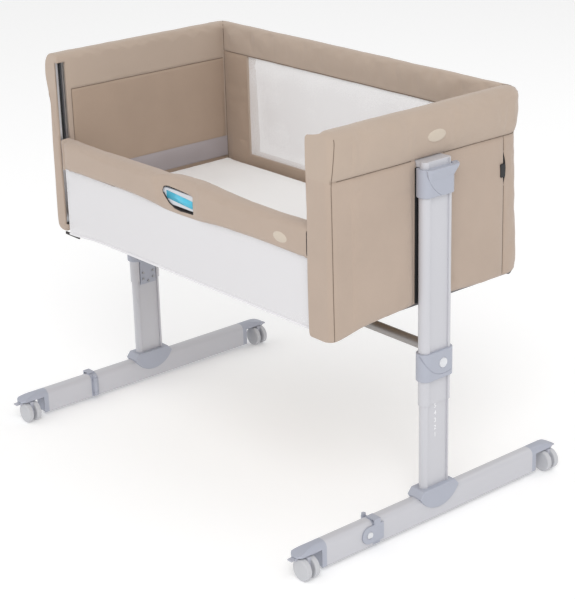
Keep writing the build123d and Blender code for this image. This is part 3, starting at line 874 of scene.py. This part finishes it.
bm = bmesh.new()
corners = [(-RAIL_X, RAIL_Y[0]), (-RAIL_X, RAIL_Y[1]), (RAIL_X, RAIL_Y[1]), (RAIL_X, RAIL_Y[0])]
prism(bm, corners, RAIL_Z, "Z")
rail = remeshed("rail_cover", bm, cloth, 5.0, 7)
inflate(rail, rail_held, cap=0.005, slack=0.02)
creases(rail, 1.2, 80, (1, 1, 1.5), 31.0)
points = coords(rail) * 1000
lift = np.exp(-(((points[:, 0] - 30) / 130) ** 2))
points[:, 2] += np.where(points[:, 2] > 590, 2.5, 0.0) * lift
points[:, 2] += np.where(points[:, 2] < 560, -3.0, 0.0) * lift
set_coords(rail, points / 1000)
bm = bmesh.new()
prism(bm, WINDOW, (-240, -205.2), "Y")
subtract(rail, bm)
rail.data.materials.append(lining_and_gap_shade)
rail.data.materials.append(grip)
shade_smooth(rail)
for face in rail.data.polygons:
    x, y, z = face.center * 1000
    if abs(x) < 46.4 and 547.6 < z < 597.4 and -214.5 < y < -204.9:
        face.material_index = 2 if z > 578 and y > -214 else 1
edge = []
for x, z in WINDOW[-5:] + WINDOW[:4]:
    _, spot, _, _ = rail.closest_point_on_mesh(mm(x, -219, z))
    edge.append(tuple(spot * 1000))
edging = seam("window_edge", edge, lining_and_gap_shade, 0.7)
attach(edging, "rail")
# A dark strip at the rail's right end, painted as the shade in the gap between the rail and the
# flap.
line = [rail_face(371, z) for z in (556, 562, 570, 578, 586, 594, 600)]
gap_shade = seam("rail_end_gap_shade", line, lining_and_gap_shade, 0.8)
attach(gap_shade, "rail")
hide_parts("rail_pad")
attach(rail, "rail")


# ---------------------------------------------------------------- mattress
MATTRESS_Z = (mattress_lo[2] + 2.5, mattress_hi[2] - 1)
bm = bmesh.new()
mattress_x = (mattress_lo[0] + 3, mattress_hi[0] - 3)
block(bm, mattress_x, (mattress_lo[1] + 3, mattress_hi[1] - 3.5), MATTRESS_Z)
pad = remeshed("mattress_pad", bm, knit, 6.0, 8)
inflate(pad, lambda x, y, z: z < MATTRESS_Z[0] + 4, cap=0.003, slack=0.01)
creases(pad, 0.5, 110, (1, 1, 1), 51.0)
subdivide(pad)
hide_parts("mattress")
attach(pad, "crib")


# ---------------------------------------------------------------- badges, band, numbers
badge = oval("rail_badge", (301, rail_face(301, 573)[1] + 0.4, 573), (19, 2.0, 10), badge_print)
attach(badge, "rail")
badge = oval("end_badge", (441.2, 22.5, 735), (1.6, 22, 11), badge_print)
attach(badge, "crib")
bm = bmesh.new()
prism(bm, [(-37, 583), (43, 577), (43, 562), (-37, 568)], (-215.0, -214.4), "Y")
bmesh.ops.recalc_face_normals(bm, faces=bm.faces)
band = mesh_object("grip_band", bm, blue_band)
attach(band, "rail_grip")

DIGIT_X = 457.4  # on the outer face of the leg tube
DIGIT_Y = 6.5
DIGIT_TOP = 232.0
DIGIT_PITCH = 14.6
for side, label in SIDES:
    for k, digit in enumerate("54321"):
        text = bpy.data.curves.new("digit", "FONT")
        text.body = digit
        text.size = 0.0125
        text.align_x = "CENTER"
        text.align_y = "CENTER"
        text.extrude = 0.0001
        made = mesh_from_curve(f"digit_{digit}_{label}", text, white_print)
        upright = Matrix(((0, 0, side), (side, 0, 0), (0, 1, 0))).to_4x4()
        place = mm(side * DIGIT_X, DIGIT_Y, DIGIT_TOP - DIGIT_PITCH * k)
        made.data.transform(Matrix.Translation(place) @ upright)
        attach(made, f"leg_{label}")


# ---------------------------------------------------------------- stage
def area_light(name, place, target, size, power):
    light = bpy.data.lights.new(name, "AREA")
    light.shape = "DISK"
    light.size = size
    light.energy = power
    obj = bpy.data.objects.new(name, light)
    obj.location = place
    obj.rotation_euler = (Vector(target) - Vector(place)).to_track_quat("-Z", "Y").to_euler()
    scene.collection.objects.link(obj)


bm = bmesh.new()
bmesh.ops.create_grid(bm, x_segments=1, y_segments=1, size=30)
floor_mat, _, bsdf = new_material("pale_floor")
bsdf.inputs["Base Color"].default_value = (0.93, 0.93, 0.93, 1)
bsdf.inputs["Roughness"].default_value = 0.9
bsdf.inputs["Emission Color"].default_value = (1, 1, 1, 1)
bsdf.inputs["Emission Strength"].default_value = 0.16
floor = mesh_object("floor", bm, floor_mat)

world = bpy.data.worlds.new("world")
scene.world = world
world.use_nodes = True
background = world.node_tree.nodes["Background"]
background.inputs["Color"].default_value = (1, 1, 1, 1)
background.inputs["Strength"].default_value = 0.74
area_light("key", (2.6, -2.2, 3.4), (0, 0, 0.5), 2.4, 64)
area_light("fill", (-2.8, -2.4, 2.6), (0, 0, 0.5), 2.8, 14)
area_light("rear", (0.5, 3.2, 3.0), (0, 0, 0.6), 2.4, 16)

scene.view_settings.view_transform = "Standard"
scene.view_settings.look = "None"


# ---------------------------------------------------------------- camera
EYE = (2.44605, -1.99307, 1.52217)  # metres
azimuth = math.radians(50.218)
elevation = math.radians(20.976)
roll = math.radians(-1.527)
camera = bpy.data.cameras.new("camera")
camera.sensor_width = 36
camera.lens = 101.40
eye = bpy.data.objects.new("camera", camera)
scene.collection.objects.link(eye)
right = Vector((math.cos(azimuth), math.sin(azimuth), 0))
level = math.cos(elevation)
away = Vector((math.sin(azimuth) * level, -math.cos(azimuth) * level, math.sin(elevation)))
up = away.cross(right)
across = math.cos(roll) * right + math.sin(roll) * up
above = -math.sin(roll) * right + math.cos(roll) * up
turn = Matrix((across, above, away)).transposed().to_4x4()
eye.matrix_world = Matrix.Translation(EYE) @ turn
scene.camera = eye
